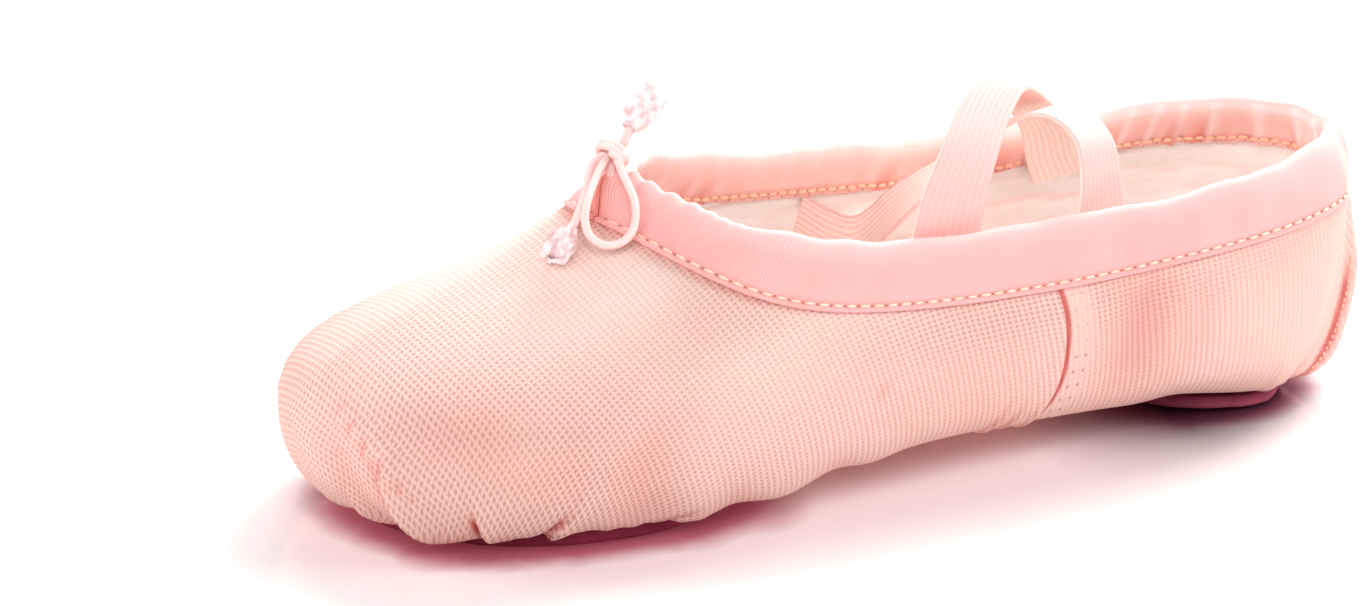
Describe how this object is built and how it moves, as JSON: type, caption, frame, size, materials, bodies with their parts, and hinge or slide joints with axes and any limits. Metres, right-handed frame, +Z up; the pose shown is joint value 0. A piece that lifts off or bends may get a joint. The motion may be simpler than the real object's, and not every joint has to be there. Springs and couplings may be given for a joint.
{
  "type": "ballet flat",
  "caption": "Soft canvas split-sole ballet flat with a bound drawcord collar tied in a half bow and crossed elastic instep straps.",
  "frame": {"origin": "middle of the shoe's length and width, on the floor that it stands on", "axes": "toe towards -Y, heel towards +Y, +Z up, +X to the wearer's left"},
  "size_m": [0.0788, 0.2324, 0.0761],
  "materials": {
    "canvas": "matt salmon-pink cotton canvas, plain weave",
    "binding_tape": "matt pink woven tape",
    "lining": "matt pale peach cotton",
    "suede": "plum suede, no sheen",
    "elastic": "pale pink ribbed elastic, slight sheen",
    "cord": "pale pink round elastic cord",
    "cord_tip": "crumpled whitish film"
  },
  "bodies": {
    "root": {"upper": "canvas", "collar_binding": "binding_tape", "insole": "lining", "fore_sole": "suede", "heel_sole": "suede", "strap_front": "elastic", "strap_rear": "elastic", "drawcord_knot": "cord", "drawcord_loop": "cord", "drawcord_end_high": "cord", "drawcord_end_low": "cord", "cord_tip_high": "cord_tip", "cord_tip_low": "cord_tip"}
  },
  "joints": []
}
